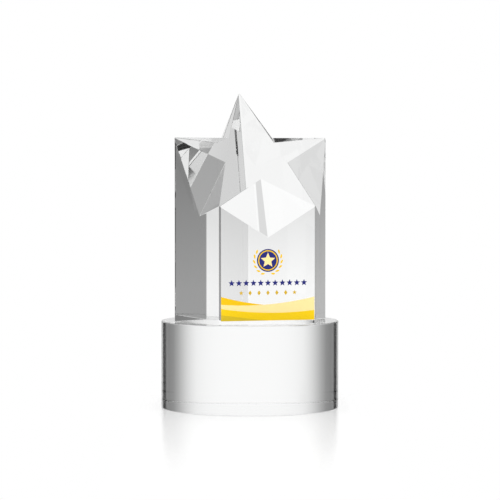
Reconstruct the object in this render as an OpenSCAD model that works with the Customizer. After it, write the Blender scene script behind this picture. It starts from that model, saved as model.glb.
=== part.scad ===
// Star trophy: an optical crystal column, cut to a five-pointed star at the top, glued on a round crystal
// base, with a colour print on the column's front face. Millimetres, +Z up. The origin is the middle of the
// base's underside, and the front face looks along -Y.

/* [Base] */
// Diameter of the round base
base_d = 100; // [98:1:130]
// Height of the round base
base_h = 49; // [30:1:60]
// Size of the polished bevel round both rims of the base
base_bevel = 0.5; // [0.2:0.1:1]

/* [Column] */
// Radius of the circle round the regular pentagon that the column's section is drawn from
column_r = 46.8; // [44:0.2:48]
// Depth of the section from front to back, as a share of the regular pentagon's
depth_share = 0.69; // [0.64:0.01:0.74]
// How far the section's centre stands in front of the base's axis
column_forward = 10; // [7:0.5:12]
// How far the two side corners stand in front of their places on that pentagon
shoulder_forward = 1.3; // [0:0.1:2]
// Width of the polished flat down each upright edge
edge_flat = 1; // [0.4:0.1:2]
// Height of the highest star point above the base's underside
award_h = 177.5; // [175:0.5:185]

/* [Star] */
// Slope of the star's face, from level
star_tilt = 47.5; // [46:0.5:49]
// How far the star's theoretical points lie outside the column's sharp corners
point_blunting = 0.3; // [0:0.1:1]
// Distance of the front inner corner from the section's centre, as a share of the full radius
front_corner = 0.385; // [0.36:0.005:0.42]
// The same for the two side inner corners
side_corner = 0.405; // [0.36:0.005:0.42]
// Half the distance between the two rear inner corners
rear_corner_x = 12.6; // [11:0.1:13.5]
// Height above the base's underside of the foot of the front V-cut
front_cut_h = 97; // [95:0.5:100]
// Height above the base's underside of the feet of the two side V-cuts
side_cut_h = 108.5; // [105:0.5:112]
// Place of a side V-cut's foot across its face, from the rear edge (0) to the front edge (1)
side_cut_place = 0.57; // [0.5:0.01:0.62]
// Height above the base's underside of the feet of the two rear V-cuts
rear_cut_h = 144; // [142:0.5:146]
// Place of a rear V-cut's foot across its face, from the rear edge (0) to the side edge (1)
rear_cut_place = 0.37; // [0.34:0.01:0.42]

/* [Adhesive] */
// Thickness of the cured adhesive between the base and the column
glue_t = 0.1; // [0.05:0.05:0.3]
// How far the adhesive stops short of the column's edge
glue_inset = 0.4; // [0:0.1:2]

/* [Print] */
// Thickness of one film of cured ink
ink_t = 0.1; // [0.05:0.05:0.2]
// Width of the wave that runs across the column's foot
wave_w = 53.5; // [44:0.5:53.5]
// Height above the base's top of the wave's lower edge
wave_low = 2.2; // [1:0.1:3]
// Height above the base's top of the emblem's middle
emblem_h = 35.3; // [34:0.1:36]
// Diameter of the emblem's disc
emblem_d = 12.6; // [12:0.1:13]
// Height above the base's top of the upper row of marks
upper_row_h = 22.9; // [22:0.1:24]
// How many stars the upper row has
upper_row_count = 11; // [7:2:11]
// Height above the base's top of the lower row of marks
lower_row_h = 17.5; // [17:0.1:18.5]
// How many lozenges the lower row has between its two end stars
lower_row_count = 5; // [3:2:5]

/* [Hidden] */
$fn = 128;

CRYSTAL = [0.88, 0.91, 0.93, 0.6];
ADHESIVE = [0.95, 0.97, 0.98, 0.4];
WHITE = [0.97, 0.97, 0.96];
NAVY = [0.16, 0.18, 0.47];
GOLD = [0.96, 0.75, 0.08];
PALE = [1.00, 0.90, 0.57];
YELLOW = [0.98, 0.81, 0.04];
OCHRE = [0.88, 0.73, 0.06];

// The five-sided section. Corners are counted from the front right one towards the rear: 0 front right,
// 1 right, 2 rear, 3 left, 4 front left.
SIDES = 5;
SECTOR = 360 / SIDES;
center_y = -column_forward;
face_y = plan_point(0, column_r * cos(SECTOR / 2))[1];
side_y = plan_corner(1)[1];
rear_y = max([for (p = section_points(0)) p[1]]);
foot_z = base_h + glue_t;

// The star's face
star_slope = tan(star_tilt);
BIG = 400;

// The wave's borders: heights above the base's top at the left end, in the middle and at the right end
gold_top = [15.6, 10.7, 10.7];
pale_top = [11.3, 11.1, 15.0];
pale_foot = [9.0, 6.5, 7.6];
ochre_top = [5.6, 2.1, -1];
wave_half = wave_w / 2;
WAVE_STEP = 1;
CLOSE = 0.01;

// The emblem: a gold ring and a pale star in a navy disc, between two sprigs of leaves
emblem_r = emblem_d / 2;
ring_outer = emblem_r - 0.7;
ring_inner = emblem_r - 1.3;
emblem_star_r = emblem_r - 2;
LEAF_PAIRS = 6;
LEAF_L = 2.6;
LEAF_W = 1.0;
SPRIG_START = 22;
SPRIG_STEP = 21;
SPRIG_GAP = 1.6;
LEAF_LEAN = 24;

// The two rows of marks
ROW_STAR_R = 1.9;
UPPER_PITCH = 4.15;
LOWER_PITCH = 5.1;
LOZENGE_W = 1.9;
LOZENGE_H = 2.8;
END_STAR_R = 1.3;
STAR_SHARE = 0.45;

// A point of the plan. Directions and radii are those of the regular pentagon, counted from the front towards
// +X; the depth is then reduced.
function plan_point(direction, radius) =
    [radius * sin(direction), center_y - depth_share * radius * cos(direction)];

function plan_corner(i, beyond = 0) =
    plan_point((i + 0.5) * SECTOR, column_r + beyond) - [0, i == 1 || i == 3 ? shoulder_forward : 0];

function unit(v) = v / norm(v);

// A corner of the section moved in by an inset from both of its sides, and cut off by a flat
function flat_ends(i, inset) =
    let (
        c = plan_corner(i),
        back = unit(plan_corner(i - 1) - c),
        on = unit(plan_corner(i + 1) - c),
        moved = c + (back + on) * inset / abs(cross(back, on)),
        cut = edge_flat / norm(back - on)
    )
    [moved + cut * back, moved + cut * on];

function section_points(inset) = [for (i = [0 : SIDES - 1]) for (p = flat_ends(i, inset)) p];

// A point of the star's face over a point of the plan
function on_star(p) = [p[0], p[1], award_h + star_slope * (p[1] - rear_y)];

function star_tip(i) = on_star(plan_corner(i, point_blunting));

// A half-space: a big block whose lower face holds the point and has the normal pointing into the block
module half_space(point, normal) {
    translate(point)
    rotate([0, acos(normal[2] / norm(normal)), atan2(normal[1], normal[0])])
    translate([-BIG / 2, -BIG / 2, 0])
    cube(BIG);
}

// The half-space above the plane through three points
module above(a, b, c) {
    n = cross(b - a, c - a);
    half_space(a, n[2] < 0 ? -n : n);
}

// A V-cut between the star points a and b. Its root line runs from the inner corner, a point of the plan, out
// and down to its foot, which lies across the side face from corner a (0) to corner b (1).
module v_cut(a, b, corner, place, foot_h) {
    root = on_star(corner);
    foot = concat(plan_corner(a) * (1 - place) + plan_corner(b) * place, foot_h);
    intersection() {
        above(star_tip(a), root, foot);
        above(star_tip(b), root, foot);
    }
}

module star_column() {
    color(CRYSTAL)
    difference() {
        translate([0, 0, foot_z])
        linear_extrude(award_h)
        polygon(section_points(0));
        half_space(on_star([0, center_y]), [0, -star_slope, 1]);
        v_cut(4, 0, plan_point(0, front_corner * column_r), 0.5, front_cut_h);
        for (flip = [0, 1])
            mirror([flip, 0, 0]) {
                v_cut(1, 0, plan_point(SECTOR, side_corner * column_r), side_cut_place, side_cut_h);
                v_cut(2, 1, [rear_corner_x, side_y], rear_cut_place, rear_cut_h);
            }
    }
}

module round_base() {
    r = base_d / 2;
    color(CRYSTAL)
    rotate_extrude()
    polygon([
        [0, 0], [r - base_bevel, 0], [r, base_bevel],
        [r, base_h - base_bevel], [r - base_bevel, base_h], [0, base_h]
    ]);
}

module adhesive_film() {
    color(ADHESIVE)
    translate([0, 0, base_h])
    linear_extrude(glue_t)
    polygon(section_points(glue_inset));
}

// Stands a flat drawing up on the column's front face: its X stays, and its Y is the height above the base's
// top. Layer 0 lies on the crystal, and layer 1 on the white underbase.
module on_front(layer) {
    translate([0, face_y - layer * ink_t, base_h])
    rotate([90, 0, 0])
    linear_extrude(ink_t)
    children();
}

// Height of a border at x: the parabola through its three heights
function border_h(border, x) =
    let (t = x / wave_half)
    border[1] + t * (border[2] - border[0]) / 2 + t * t * ((border[0] + border[2]) / 2 - border[1]);

// Points along a border from x0 to x1, on a grid that all the borders share
function grid_between(x0, x1) =
    [for (g = [-wave_half : WAVE_STEP : wave_half]) if (g > x0 + CLOSE && g < x1 - CLOSE) g];

function along(border, x0, x1) = [for (x = concat(x0, grid_between(x0, x1), x1)) [x, border_h(border, x)]];

function reversed(list) = [for (i = [len(list) - 1 : -1 : 0]) list[i]];

function without_first(list) = [for (i = [1 : len(list) - 1]) list[i]];

// Where an upper border first comes down to a lower one, counted from the left
function meeting(upper, lower) =
    let (d = upper - lower, bend = (d[0] + d[2]) / 2 - d[1], fall = (d[2] - d[0]) / 2)
    wave_half * (-fall - sqrt(fall * fall - 4 * bend * d[1])) / (2 * bend);

low_edge = [wave_low, wave_low, wave_low];
gold_end = meeting(gold_top, pale_top);
ochre_end = meeting(ochre_top, low_edge);

module wave_outline() {
    polygon(concat(
        [[-wave_half, wave_low]],
        along(gold_top, -wave_half, gold_end),
        without_first(along(pale_top, gold_end, wave_half)),
        [[wave_half, wave_low]]
    ));
}

// A sweep that starts at the wave's left end and runs out to a point where its two borders meet
module running_out(upper, lower, end) {
    polygon(concat(
        along(upper, -wave_half, end),
        without_first(reversed(along(lower, -wave_half, end)))
    ));
}

module star(outer) {
    polygon([
        for (i = [0 : 2 * SIDES - 1])
            outer * (i % 2 == 0 ? 1 : STAR_SHARE) * [sin(i * SECTOR / 2), cos(i * SECTOR / 2)]
    ]);
}

module leaf() {
    arc_r = (LEAF_L * LEAF_L + LEAF_W * LEAF_W) / (4 * LEAF_W);
    intersection() {
        translate([arc_r - LEAF_W / 2, 0]) circle(arc_r);
        translate([LEAF_W / 2 - arc_r, 0]) circle(arc_r);
    }
}

// Both sprigs: leaves that follow the disc's rim from its foot upwards, leaning outwards
module sprigs() {
    for (side = [-1, 1])
        for (i = [0 : LEAF_PAIRS - 1])
            rotate(side * (SPRIG_START + i * SPRIG_STEP))
            translate([0, -emblem_r - SPRIG_GAP])
            rotate(side * (90 - LEAF_LEAN))
            leaf();
}

module upper_row() {
    for (i = [0 : upper_row_count - 1])
        translate([(i - (upper_row_count - 1) / 2) * UPPER_PITCH, upper_row_h])
        star(ROW_STAR_R);
}

module lower_row() {
    end = (lower_row_count + 1) / 2;
    for (side = [-1, 1])
        translate([side * end * LOWER_PITCH, lower_row_h])
        star(END_STAR_R);
    for (i = [0 : lower_row_count - 1])
        translate([(i - (lower_row_count - 1) / 2) * LOWER_PITCH, lower_row_h])
        polygon([[-LOZENGE_W / 2, 0], [0, -LOZENGE_H / 2], [LOZENGE_W / 2, 0], [0, LOZENGE_H / 2]]);
}

module print_underbase() {
    color(WHITE)
    on_front(0) {
        wave_outline();
        translate([0, emblem_h]) circle(emblem_r);
        translate([0, emblem_h]) sprigs();
        upper_row();
        lower_row();
    }
}

module wave_gold_sweep() {
    color(GOLD)
    on_front(1)
    running_out(gold_top, pale_top, gold_end);
}

module wave_pale_sweep() {
    color(PALE)
    on_front(1)
    polygon(concat(
        along(pale_top, -wave_half, wave_half),
        reversed(along(pale_foot, -wave_half, wave_half))
    ));
}

module wave_yellow_field() {
    color(YELLOW)
    on_front(1)
    polygon(concat(
        along(pale_foot, -wave_half, wave_half),
        [[wave_half, wave_low]],
        reversed(along(ochre_top, -wave_half, ochre_end))
    ));
}

module wave_ochre_sweep() {
    color(OCHRE)
    on_front(1)
    running_out(ochre_top, low_edge, ochre_end);
}

module emblem_navy_field() {
    color(NAVY)
    on_front(1)
    translate([0, emblem_h])
    difference() {
        circle(emblem_r);
        difference() {
            circle(ring_outer);
            circle(ring_inner);
        }
        star(emblem_star_r);
    }
}

module emblem_gold_parts() {
    color(GOLD)
    on_front(1)
    translate([0, emblem_h]) {
        difference() {
            circle(ring_outer);
            circle(ring_inner);
        }
        sprigs();
    }
}

module emblem_pale_star() {
    color(PALE)
    on_front(1)
    translate([0, emblem_h])
    star(emblem_star_r);
}

module upper_mark_row() {
    color(NAVY)
    on_front(1)
    upper_row();
}

module lower_mark_row() {
    color(GOLD)
    on_front(1)
    lower_row();
}

star_column();
round_base();
adhesive_film();
print_underbase();
wave_gold_sweep();
wave_pale_sweep();
wave_yellow_field();
wave_ochre_sweep();
emblem_navy_field();
emblem_gold_parts();
emblem_pale_star();
upper_mark_row();
lower_mark_row();
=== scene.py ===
"""A crystal star trophy: a five-sided column, ground to a star at its top, on a round crystal base."""

import math

import bmesh
import bpy
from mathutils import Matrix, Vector


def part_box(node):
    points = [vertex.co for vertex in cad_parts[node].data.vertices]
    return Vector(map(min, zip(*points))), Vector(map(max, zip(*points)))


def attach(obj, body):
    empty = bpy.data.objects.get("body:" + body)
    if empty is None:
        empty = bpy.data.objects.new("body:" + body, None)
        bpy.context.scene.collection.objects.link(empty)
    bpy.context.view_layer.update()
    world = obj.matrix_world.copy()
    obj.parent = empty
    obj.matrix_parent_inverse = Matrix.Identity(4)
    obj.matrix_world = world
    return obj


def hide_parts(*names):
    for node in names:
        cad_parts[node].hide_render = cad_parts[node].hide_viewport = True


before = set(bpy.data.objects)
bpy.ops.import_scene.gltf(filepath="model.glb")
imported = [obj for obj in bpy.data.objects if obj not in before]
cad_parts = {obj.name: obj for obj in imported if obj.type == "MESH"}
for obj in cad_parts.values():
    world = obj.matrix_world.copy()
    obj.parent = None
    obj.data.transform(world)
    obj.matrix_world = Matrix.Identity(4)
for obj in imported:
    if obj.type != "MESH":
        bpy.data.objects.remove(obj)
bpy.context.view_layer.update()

# Camera
# A long lens on a full-size sensor. It stands a little to the left of the trophy's front, just above level.
CAMERA_TURN = math.radians(-15.96)
CAMERA_RISE = math.radians(2.18)
CAMERA_DISTANCE = 1.3
CAMERA_LENS = 165.7
CAMERA_SENSOR = 36
CAMERA_AIM = Vector((0.0001, 0, 0.0887))


def placed(name, data):
    """A new object for some data, linked to the scene."""
    made = bpy.data.objects.new(name, data)
    bpy.context.scene.collection.objects.link(made)
    return made


towards_camera = Vector((
    math.sin(CAMERA_TURN) * math.cos(CAMERA_RISE),
    -math.cos(CAMERA_TURN) * math.cos(CAMERA_RISE),
    math.sin(CAMERA_RISE),
))
camera = placed("camera", bpy.data.cameras.new("camera"))
camera.data.lens = CAMERA_LENS
camera.data.sensor_width = CAMERA_SENSOR
camera.location = CAMERA_AIM + towards_camera * CAMERA_DISTANCE
camera.rotation_euler = (-towards_camera).to_track_quat("-Z", "Y").to_euler()
bpy.context.scene.camera = camera
bpy.context.scene.view_settings.view_transform = "Standard"

# The studio
# A white sweep behind and under the trophy that falls off to grey at its sides, and a dimmer room in front.
# Crystal shows only what is round it, so these tones draw its edges.


class Wire:
    """An output socket. Sums on wires add Math nodes to their tree."""

    def __init__(self, recipe, socket):
        self.recipe = recipe
        self.socket = socket

    def out(self, name):
        return Wire(self.recipe, self.socket.node.outputs[name])

    def maths(self, operation, *values):
        return self.recipe.node("ShaderNodeMath", {"operation": operation}, dict(enumerate(values)))

    def __add__(self, other):
        return self.maths("ADD", self, other)

    __radd__ = __add__

    def __sub__(self, other):
        return self.maths("SUBTRACT", self, other)

    def __rsub__(self, other):
        return self.maths("SUBTRACT", other, self)

    def __mul__(self, other):
        return self.maths("MULTIPLY", self, other)

    __rmul__ = __mul__

    def __truediv__(self, other):
        return self.maths("DIVIDE", self, other)

    def __pow__(self, other):
        return self.maths("POWER", self, other)

    def __abs__(self):
        return self.maths("ABSOLUTE", self)

    def above(self, edge):
        return self.maths("GREATER_THAN", self, edge)

    def most(self, other):
        return self.maths("MAXIMUM", self, other)

    def along(self, way):
        """How far this vector reaches in a direction."""
        product = self.recipe.node("ShaderNodeVectorMath", {"operation": "DOT_PRODUCT"}, {0: self, 1: way})
        return product.out("Value")

    def fade(self, start, end, low, high):
        """A smooth change from low to high as this value goes from start to end."""
        return self.recipe.node(
            "ShaderNodeMapRange", {"interpolation_type": "SMOOTHSTEP"},
            {"Value": self, "From Min": start, "From Max": end, "To Min": low, "To Max": high},
        )


class Recipe:
    """The shader nodes of one material, or of the room."""

    def __init__(self, owner):
        owner.use_nodes = True
        self.owner = owner
        self.tree = owner.node_tree
        self.tree.nodes.clear()

    def node(self, kind, settings, sockets):
        """Adds a node with its settings, and the values or links of its sockets."""
        made = self.tree.nodes.new(kind)
        for name, value in settings.items():
            if name == "stops":
                self.set_stops(made.color_ramp.elements, value)
            else:
                setattr(made, name, value)
        for key, value in sockets.items():
            if isinstance(value, Wire):
                self.tree.links.new(value.socket, made.inputs[key])
            else:
                made.inputs[key].default_value = value
        return Wire(self, made.outputs[0]) if made.outputs else None

    def mix(self, share, first, second):
        """Two shaders mixed, with the second one's share."""
        return self.node("ShaderNodeMixShader", {}, {0: share, 1: first, 2: second})

    def show(self, shader):
        """Makes a shader the surface of the recipe's owner, and returns the owner."""
        output = "World" if isinstance(self.owner, bpy.types.World) else "Material"
        self.node("ShaderNodeOutput" + output, {}, {"Surface": shader})
        return self.owner

    @staticmethod
    def set_stops(elements, stops):
        while len(elements) > 1:
            elements.remove(elements[-1])
        elements[0].position, elements[0].color = stops[0]
        for place, color in stops[1:]:
            elements.new(place).color = color


# Tones by the turn from the sweep's middle, and by the angle above level, in degrees
SWEEP_TONES = {
    0: 1.0, 14: 0.99, 20: 0.96, 26: 0.9, 32: 0.73, 37: 0.56, 42: 0.4, 48: 0.26, 56: 0.2, 74: 0.18,
    90: 0.26, 110: 0.33, 180: 0.33,
}
HEIGHT_TONES = {
    -90: 0.95, -40: 0.95, -12: 1.03, -3.2: 1.03, -2.2: 0.94, -1.2: 0.84, -0.3: 0.72, 1: 0.74, 3: 1.0,
    14: 1.04, 40: 1.05, 90: 1.2,
}
# A ramp's tones stop at 1, so it holds the heights' tones as shares of this one
HIGHEST_TONE = 1.25
# Overhead and underfoot the room has one tone all round, which takes over steeply from the sweep's
OVERHEAD_TONE = 0.9
OVERHEAD_POWER = 4
LEAST_LEVEL = 1e-4
# Upright faces mirror the table close by, which is dimmer than the sweep
TABLE_DIMMING = 0.35
# Grey cards round the table, each given by its turn from the sweep's middle, its rise, its reach in degrees
# and the share of light it leaves. The steep facets of the cuts mirror them.
GREY_CARDS = (
    (24, -26, 10, 0.38),
    (-26, -13, 8, 0.78),
    (60, -38, 11, 0.12),
    (-145, -40, 11, 0.12),
    (-28, -33, 9, 0.15),
)
away = -towards_camera.to_2d().normalized()
rightwards = Vector((away.y, -away.x))


def tone_stops(tones, wave, highest):
    """Grey ramp stops from tones by angle, for a ramp over the angle's sine or cosine from -1 to 1."""
    greys = sorted(((1 + wave(math.radians(angle))) / 2, tone / highest) for angle, tone in tones.items())
    return [(place, (grey, grey, grey, 1)) for place, grey in greys]


room = Recipe(bpy.data.worlds.new("studio"))
direction = room.node("ShaderNodeTexCoord", {}, {}).out("Generated")
height = room.node("ShaderNodeSeparateXYZ", {}, {0: direction}).out("Z")
level_cosine = direction.along((*away, 0)) / ((1 - height * height).most(LEAST_LEVEL) ** 0.5)
sweep_stops = tone_stops(SWEEP_TONES, math.cos, 1)
sweep_tone = room.node("ShaderNodeValToRGB", {"stops": sweep_stops}, {0: level_cosine * 0.5 + 0.5})
height_stops = tone_stops(HEIGHT_TONES, math.sin, HIGHEST_TONE)
height_tone = room.node("ShaderNodeValToRGB", {"stops": height_stops}, {0: height * 0.5 + 0.5})
flatness = (1 - height * height) ** OVERHEAD_POWER
cards_share = 1
for turn, rise, reach, share in GREY_CARDS:
    level_way = away * math.cos(math.radians(turn)) + rightwards * math.sin(math.radians(turn))
    card_way = (*(level_way * math.cos(math.radians(rise))), math.sin(math.radians(rise)))
    outside, inside = math.cos(math.radians(reach)), math.cos(math.radians(reach / 2))
    cards_share = direction.along(card_way).fade(outside, inside, 1, share) * cards_share
rays = room.node("ShaderNodeLightPath", {}, {})
mirrored_table = rays.out("Is Glossy Ray") * (1 - rays.out("Is Transmission Ray")) * (1 - height.above(0))
tone = (sweep_tone * flatness + OVERHEAD_TONE * (1 - flatness)) * height_tone * HIGHEST_TONE
tone = tone * cards_share * (1 - TABLE_DIMMING * mirrored_table)
grey = room.node("ShaderNodeCombineColor", {}, {0: tone, 1: tone, 2: tone})
lit_room = room.node("ShaderNodeBackground", {}, {"Color": grey})
backdrop = room.node("ShaderNodeBackground", {}, {"Color": (1, 1, 1, 1)})
bpy.context.scene.world = room.show(room.mix(rays.out("Is Camera Ray"), lit_room, backdrop))

# Front softbox
# One round softbox lights the print from in front and above. It stays out of every reflection.
SOFTBOX_SIZE = 0.6
SOFTBOX_PLACE = Vector((-0.25, -0.9, 0.9))
SOFTBOX_POWER = 9.5
softbox = placed("front_softbox", bpy.data.lights.new("front_softbox", "AREA"))
softbox.data.shape = "DISK"
softbox.data.size = SOFTBOX_SIZE
softbox.data.energy = SOFTBOX_POWER
softbox.location = SOFTBOX_PLACE
softbox.rotation_euler = (CAMERA_AIM - SOFTBOX_PLACE).to_track_quat("-Z", "Y").to_euler()
softbox.visible_glossy = False
softbox.visible_transmission = False

# Table
# A white table that glows as the sweep does. Only a strip under and in front of the trophy is satin paint,
# which mirrors the foot of the base for a short way.
TABLE_REACH = 3
TABLE_GAP = 0.0001
TABLE_WHITE = 0.85
SATIN_ROUGHNESS = 0.26
SHEEN_REACH = (0.16, 0.36)
SHEEN_SIDES = (0.052, 0.064)
SHEEN_SHORTER_BEHIND = 3
recipe = Recipe(bpy.data.materials.new("satin_white_table"))
paint = {"Base Color": (TABLE_WHITE, TABLE_WHITE, TABLE_WHITE, 1), "Roughness": SATIN_ROUGHNESS}
satin = recipe.node("ShaderNodeBsdfPrincipled", {}, paint)
glow = recipe.node("ShaderNodeEmission", {}, {"Color": (1, 1, 1, 1), "Strength": 1})
place = recipe.node("ShaderNodeTexCoord", {}, {}).out("Object")
distance = recipe.node("ShaderNodeVectorMath", {"operation": "LENGTH"}, {0: place}).out("Value")
behind = place.along((*away, 0)).most(0) * SHEEN_SHORTER_BEHIND
past_end = (distance + behind).fade(*SHEEN_REACH, 0, 1)
past_side = abs(place.along((*rightwards, 0))).fade(*SHEEN_SIDES, 0, 1)
table_finish = recipe.show(recipe.mix(past_end.most(past_side), satin, glow))
table_mesh = bpy.data.meshes.new("table")
corners = [(x * TABLE_REACH, y * TABLE_REACH, -TABLE_GAP) for x, y in ((-1, -1), (1, -1), (1, 1), (-1, 1))]
table_mesh.from_pydata(corners, [], [(0, 1, 2, 3)])
table_mesh.materials.append(table_finish)
table = placed("table", table_mesh)
table.visible_transmission = False
table.visible_glossy = False

# Black cards
# Two cards behind the table's sides draw the dark lines at a round base's edges. Only the crystal is near
# enough to see them. Each one's two ends are given by their distances out to the side and back.
CARD_ENDS = ((0.1, 0.1), (0.135, 0.08))
CARD_LOW, CARD_HIGH = -0.04, 0.045
CARD_SIGHT = 0.135
CARD_BLACK = 0.01
recipe = Recipe(bpy.data.materials.new("black_card"))
black = recipe.node("ShaderNodeBsdfDiffuse", {}, {"Color": (CARD_BLACK, CARD_BLACK, CARD_BLACK, 1)})
unseen = recipe.node("ShaderNodeBsdfTransparent", {}, {"Color": (1, 1, 1, 1)})
too_far = recipe.node("ShaderNodeLightPath", {}, {}).out("Ray Length").above(CARD_SIGHT)
card_finish = recipe.show(recipe.mix(too_far, black, unseen))
for side, name in ((-1, "card_one"), (1, "card_two")):
    feet = [away * back + rightwards * side * out for out, back in CARD_ENDS]
    card_mesh = bpy.data.meshes.new(name)
    card_mesh.from_pydata([(*foot, z) for foot in feet for z in (CARD_LOW, CARD_HIGH)], [], [(0, 1, 3, 2)])
    card_mesh.materials.append(card_finish)
    card = placed(name, card_mesh)
    card.visible_camera = False
    card.visible_diffuse = False
    card.visible_shadow = False

# Round base
# A turned and polished drum of optical crystal. Its two rims are eased, and its top is glued to the column.
low, high = (Vector(corner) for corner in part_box("round_base"))
HALF_RADIUS = (high.x - low.x) / 4
BASE_HEIGHT = high.z
BASE_EASE = 0.0005
BASE_SEGMENTS = 384
EASE_STEPS = 4
BASE_TINT = (0.985, 0.99, 0.988)
BASE_HAZE = 0.02
MERGE_GAP = 1e-6
LEVEL_GAP = 1e-5
LEVEL_NORMAL = 0.9
SOFT_EDGE = math.radians(35)
# The finish of every polished crystal face
CRYSTAL_INDEX = 1.517
FELT_MARKS_SCALE = 900
FELT_MARKS_START = 0.6
LIGHT_LET_THROUGH = 0.97


def crystal_finish(name, tint, haze):
    """Clear polished crystal, with a faint haze left by the felt wheel. Its shadow is nearly as clear."""
    recipe = Recipe(bpy.data.materials.new(name))
    place = recipe.node("ShaderNodeTexCoord", {}, {}).out("Object")
    marks = recipe.node("ShaderNodeTexNoise", {}, {"Vector": place, "Scale": FELT_MARKS_SCALE, "Detail": 3})
    clear = recipe.node(
        "ShaderNodeBsdfPrincipled", {},
        {
            "Base Color": (*tint, 1),
            "Roughness": (marks - FELT_MARKS_START).most(0) * haze,
            "IOR": CRYSTAL_INDEX,
            "Transmission Weight": 1,
        },
    )
    shadow = recipe.node("ShaderNodeLightPath", {}, {}).out("Is Shadow Ray")
    let_through = (LIGHT_LET_THROUGH, LIGHT_LET_THROUGH, LIGHT_LET_THROUGH, 1)
    pale_shadow = recipe.node("ShaderNodeBsdfTransparent", {}, {"Color": let_through})
    return recipe.show(recipe.mix(shadow, clear, pale_shadow))


def bonded_finish():
    """A face wetted by the adhesive, which bends light no more than crystal does, so it can't be seen."""
    recipe = Recipe(bpy.data.materials.new("bonded_face"))
    return recipe.show(recipe.node("ShaderNodeBsdfTransparent", {}, {"Color": (1, 1, 1, 1)}))


def film_sides(film):
    """The upright sides of the adhesive film, each as a point and an outward normal."""
    sides = {}
    for face in film.data.polygons:
        if abs(face.normal.z) < 1 - LEVEL_NORMAL:
            sides[tuple(round(n, 3) for n in face.normal)] = (face.center.copy(), face.normal.copy())
    return list(sides.values())


def bond(mesh, level, sides):
    """Cuts the face at a level along the film's outline, and gives what lies inside the second material."""
    def lies_level(face):
        return abs(face.normal.z) > LEVEL_NORMAL and abs(face.calc_center_median().z - level) < LEVEL_GAP

    work = bmesh.new()
    work.from_mesh(mesh)
    for point, normal in sides:
        faces = [face for face in work.faces if lies_level(face)]
        edges = dict.fromkeys(edge for face in faces for edge in face.edges)
        corners = dict.fromkeys(corner for face in faces for corner in face.verts)
        level_face = [*faces, *edges, *corners]
        bmesh.ops.bisect_plane(work, geom=level_face, plane_co=point, plane_no=normal, dist=MERGE_GAP)
    for face in work.faces:
        middle = face.calc_center_median()
        if lies_level(face) and all((middle - point).dot(normal) < 0 for point, normal in sides):
            face.material_index = 1
    work.to_mesh(mesh)
    work.free()


def lathe_tree():
    """Turns a profile, drawn as a line of points beside a circle, into a solid of revolution."""
    tree = bpy.data.node_groups.new("lathe", "GeometryNodeTree")
    face = tree.interface
    face.new_socket("Profile", in_out="INPUT", socket_type="NodeSocketGeometry")
    face.new_socket("Half Radius", in_out="INPUT", socket_type="NodeSocketFloat")
    face.new_socket("Segments", in_out="INPUT", socket_type="NodeSocketInt")
    face.new_socket("Finish", in_out="INPUT", socket_type="NodeSocketMaterial")
    face.new_socket("Solid", in_out="OUTPUT", socket_type="NodeSocketGeometry")

    def add(kind, links, **settings):
        made = tree.nodes.new(kind)
        for name, value in settings.items():
            setattr(made, name, value)
        for socket, source in links.items():
            if hasattr(source, "node"):
                tree.links.new(source, made.inputs[socket])
            else:
                made.inputs[socket].default_value = source
        return made.outputs[0] if made.outputs else None

    given = tree.nodes.new("NodeGroupInput").outputs
    profile = add("GeometryNodeMeshToCurve", {"Mesh": given["Profile"]})
    size = {"Resolution": given["Segments"], "Radius": given["Half Radius"]}
    ring = add("GeometryNodeCurvePrimitiveCircle", size)
    turned = add("GeometryNodeCurveToMesh", {"Curve": ring, "Profile Curve": profile})
    closed = add("GeometryNodeMergeByDistance", {"Geometry": turned, "Distance": MERGE_GAP})
    angle = add("GeometryNodeInputMeshEdgeAngle", {})
    soft = add("FunctionNodeCompare", {0: angle, 1: SOFT_EDGE}, operation="LESS_THAN")
    round_faces = add("GeometryNodeSetShadeSmooth", {"Geometry": closed, "Shade Smooth": True})
    shaded = {"Geometry": round_faces, "Shade Smooth": soft}
    smooth = add("GeometryNodeSetShadeSmooth", shaded, domain="EDGE")
    real = add("GeometryNodeRealizeInstances", {"Geometry": smooth})
    dressed = add("GeometryNodeSetMaterial", {"Geometry": real, "Material": given["Finish"]})
    add("NodeGroupOutput", {"Solid": dressed})
    return tree


def plain_mesh(worker, name):
    """The mesh that a worker's modifiers make. The worker itself is removed."""
    mesh = bpy.data.meshes.new_from_object(worker.evaluated_get(bpy.context.evaluated_depsgraph_get()))
    mesh.name = name
    bpy.data.objects.remove(worker)
    return mesh


def made_by(tree, name, mesh, values):
    """The plain mesh that a geometry tree makes of a mesh, with values for the tree's named inputs."""
    worker = placed(name + "_work", mesh)
    modifier = worker.modifiers.new("make", "NODES")
    modifier.node_group = tree
    for item in tree.interface.items_tree:
        if item.item_type == "SOCKET" and item.name in values:
            modifier[item.identifier] = values[item.name]
    return plain_mesh(worker, name)


def outward(mesh):
    """Merges a mesh's doubles and turns its faces outwards."""
    work = bmesh.new()
    work.from_mesh(mesh)
    bmesh.ops.remove_doubles(work, verts=work.verts, dist=MERGE_GAP)
    bmesh.ops.recalc_face_normals(work, faces=work.faces)
    work.to_mesh(mesh)
    work.free()


def eased_rim(turn, middle_height):
    """A quarter round of the base's profile, from a turn in degrees: -90 at the foot, 0 at the top."""
    angles = [math.radians(turn + 90 * step / EASE_STEPS) for step in range(EASE_STEPS + 1)]
    middle = HALF_RADIUS - BASE_EASE
    return [(middle + BASE_EASE * math.cos(a), middle_height + BASE_EASE * math.sin(a)) for a in angles]


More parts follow.
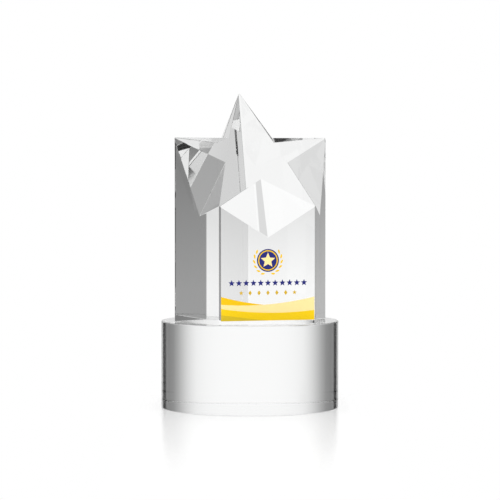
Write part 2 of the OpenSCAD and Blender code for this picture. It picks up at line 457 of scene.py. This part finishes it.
# The points two eases in from each rim keep the broad faces true right up to the rims
profile = [
    (-HALF_RADIUS, 0),
    (HALF_RADIUS - 2 * BASE_EASE, 0),
    *eased_rim(-90, BASE_EASE),
    (HALF_RADIUS, 2 * BASE_EASE),
    (HALF_RADIUS, BASE_HEIGHT - 2 * BASE_EASE),
    *eased_rim(0, BASE_HEIGHT - BASE_EASE),
    (HALF_RADIUS - 2 * BASE_EASE, BASE_HEIGHT),
    (-HALF_RADIUS, BASE_HEIGHT),
]
profile_mesh = bpy.data.meshes.new("base_profile")
profile_mesh.from_pydata([(x, z, 0) for x, z in profile], [(i, i + 1) for i in range(len(profile) - 1)], [])
base_mesh = made_by(
    lathe_tree(), "turned_base", profile_mesh,
    {
        "Half Radius": HALF_RADIUS,
        "Segments": BASE_SEGMENTS,
        "Finish": crystal_finish("base_crystal", BASE_TINT, BASE_HAZE),
    },
)
# The lathe turns the profile's heights downwards
for vertex in base_mesh.vertices:
    vertex.co.z = -vertex.co.z
outward(base_mesh)
bonded = bonded_finish()
base_mesh.materials.append(bonded)
glue_line = film_sides(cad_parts["adhesive_film"])
bond(base_mesh, BASE_HEIGHT, glue_line)
base = placed("turned_base", base_mesh)
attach(base, "root")
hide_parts("round_base")

# Star column
# One block of optical crystal, sawn five-sided, then ground: a sloping star face, five V-cuts and a narrow
# flat down each edge. Every face is polished, and the arrises are just broken so that they don't chip.
ARRIS = 0.0003
ARRIS_STEPS = 2
ARRIS_ANGLE = math.radians(15)
SAME_PLANE = math.radians(0.5)
COLUMN_TINT = (0.988, 0.992, 0.99)
COLUMN_HAZE = 0.015
column_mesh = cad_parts["star_column"].data.copy()
work = bmesh.new()
work.from_mesh(column_mesh)
bmesh.ops.remove_doubles(work, verts=work.verts, dist=MERGE_GAP)
bmesh.ops.dissolve_limit(work, angle_limit=SAME_PLANE, verts=work.verts, edges=work.edges)
work.to_mesh(column_mesh)
work.free()
column_mesh.materials.clear()
column_mesh.materials.append(crystal_finish("column_crystal", COLUMN_TINT, COLUMN_HAZE))
column_mesh.materials.append(bonded)
for face in column_mesh.polygons:
    face.material_index = 0
    face.use_smooth = False
worker = placed("ground_column_work", column_mesh)
arris = worker.modifiers.new("arris", "BEVEL")
arris.width = ARRIS
arris.segments = ARRIS_STEPS
arris.limit_method = "ANGLE"
arris.angle_limit = ARRIS_ANGLE
column_mesh = plain_mesh(worker, "ground_column")
bond(column_mesh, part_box("star_column")[0][2], glue_line)
column = placed("ground_column", column_mesh)
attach(column, "root")
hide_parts("star_column")

# Adhesive film
# A tenth of a millimetre of clear adhesive, cured under ultraviolet light. It fills the joint between the
# two crystals, with a few pinhead bubbles left in it.
BUBBLE_CELLS = 120
BUBBLE_SIZE = 0.03
BUBBLE_STRENGTH = 0.25
recipe = Recipe(bpy.data.materials.new("clear_adhesive"))
place = recipe.node("ShaderNodeTexCoord", {}, {}).out("Object")
cells = recipe.node("ShaderNodeTexVoronoi", {"feature": "F1"}, {"Vector": place, "Scale": BUBBLE_CELLS})
bubbles = 1 - cells.out("Distance").above(BUBBLE_SIZE)
glue = recipe.node("ShaderNodeBsdfTransparent", {}, {"Color": (1, 1, 1, 1)})
air = recipe.node("ShaderNodeBsdfPrincipled", {}, {"Base Color": (0.9, 0.92, 0.92, 1), "Roughness": 0.2})
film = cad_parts["adhesive_film"]
film.data.materials.clear()
film.data.materials.append(recipe.show(recipe.mix(bubbles * BUBBLE_STRENGTH, glue, air)))

# Colour print
# Ultraviolet-cured inks jetted straight onto the polished front face: a white underbase first, then the
# colours on top of it. Each film is thin and slightly stippled, with a soft gloss.
CLOUD_SCALE = 260
DROPLET_SCALE = 9000
DROPLET_HEIGHT = 0.00002
DROPLET_STRENGTH = 0.08
DROPLET_ROUGHNESS = 0.1
INK_GLARE = 0.3
WHITE = (0.9, 0.9, 0.89)
GOLD = (0.88, 0.54, 0.002)
PALE = (1.0, 0.776, 0.345)
YELLOW = (0.92, 0.617, 0.003)
OCHRE = (0.708, 0.509, 0.016)
NAVY = (0.021, 0.026, 0.188)
DULL_GOLD = (0.66, 0.42, 0.02)
# Each film's CAD node, its ink, how far the ink's colour drifts, and its least roughness
PRINTED_FILMS = (
    ("print_underbase", "white_underbase", WHITE, 0.03, 0.3),
    ("wave_gold_sweep", "gold_ink", GOLD, 0.06, 0.25),
    ("wave_pale_sweep", "pale_ink", PALE, 0.04, 0.25),
    ("wave_yellow_field", "yellow_ink", YELLOW, 0.05, 0.25),
    ("wave_ochre_sweep", "ochre_ink", OCHRE, 0.06, 0.25),
    ("emblem_navy_field", "navy_emblem_ink", NAVY, 0.15, 0.22),
    ("emblem_gold_parts", "gold_emblem_ink", GOLD, 0.08, 0.25),
    ("emblem_pale_star", "pale_emblem_ink", PALE, 0.05, 0.25),
    ("upper_mark_row", "navy_row_ink", NAVY, 0.15, 0.22),
    ("lower_mark_row", "gold_row_ink", DULL_GOLD, 0.08, 0.25),
)


def ink_finish(name, color, drift, roughness):
    """Cured ink, whose colour drifts in soft clouds and whose droplets leave a fine stipple."""
    recipe = Recipe(bpy.data.materials.new(name))
    place = recipe.node("ShaderNodeTexCoord", {}, {}).out("Object")
    cloud = recipe.node("ShaderNodeTexNoise", {}, {"Vector": place, "Scale": CLOUD_SCALE, "Detail": 2})
    droplets = recipe.node("ShaderNodeTexNoise", {}, {"Vector": place, "Scale": DROPLET_SCALE, "Detail": 1})
    light, dark = (*color, 1), (*(c * (1 - drift) for c in color), 1)
    # A Mix node's colours are its sixth and seventh inputs and its second output, counted from 0
    shade = recipe.node("ShaderNodeMix", {"data_type": "RGBA"}, {0: cloud, 6: dark, 7: light}).out(2)
    stipple = recipe.node(
        "ShaderNodeBump", {},
        {"Strength": DROPLET_STRENGTH, "Distance": DROPLET_HEIGHT, "Height": droplets},
    )
    return recipe.show(recipe.node(
        "ShaderNodeBsdfPrincipled", {},
        {
            "Base Color": shade,
            "Roughness": droplets * DROPLET_ROUGHNESS + roughness,
            "Normal": stipple,
            "Specular IOR Level": INK_GLARE,
        },
    ))


for node, name, color, drift, roughness in PRINTED_FILMS:
    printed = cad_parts[node].data
    printed.materials.clear()
    printed.materials.append(ink_finish(name, color, drift, roughness))

# White underbase
# It wets the crystal as it cures, so this copy of it reaches a hair into the column, and the print shows
# white from behind as well.
INK_BITE = 0.00002
underbase_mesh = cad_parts["print_underbase"].data.copy()
underbase_mesh.name = "wetted_underbase"
outward(underbase_mesh)
back_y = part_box("print_underbase")[1][1]
for vertex in underbase_mesh.vertices:
    if abs(vertex.co.y - back_y) < INK_BITE:
        vertex.co.y += INK_BITE
underbase = placed("wetted_underbase", underbase_mesh)
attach(underbase, "root")
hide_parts("print_underbase")
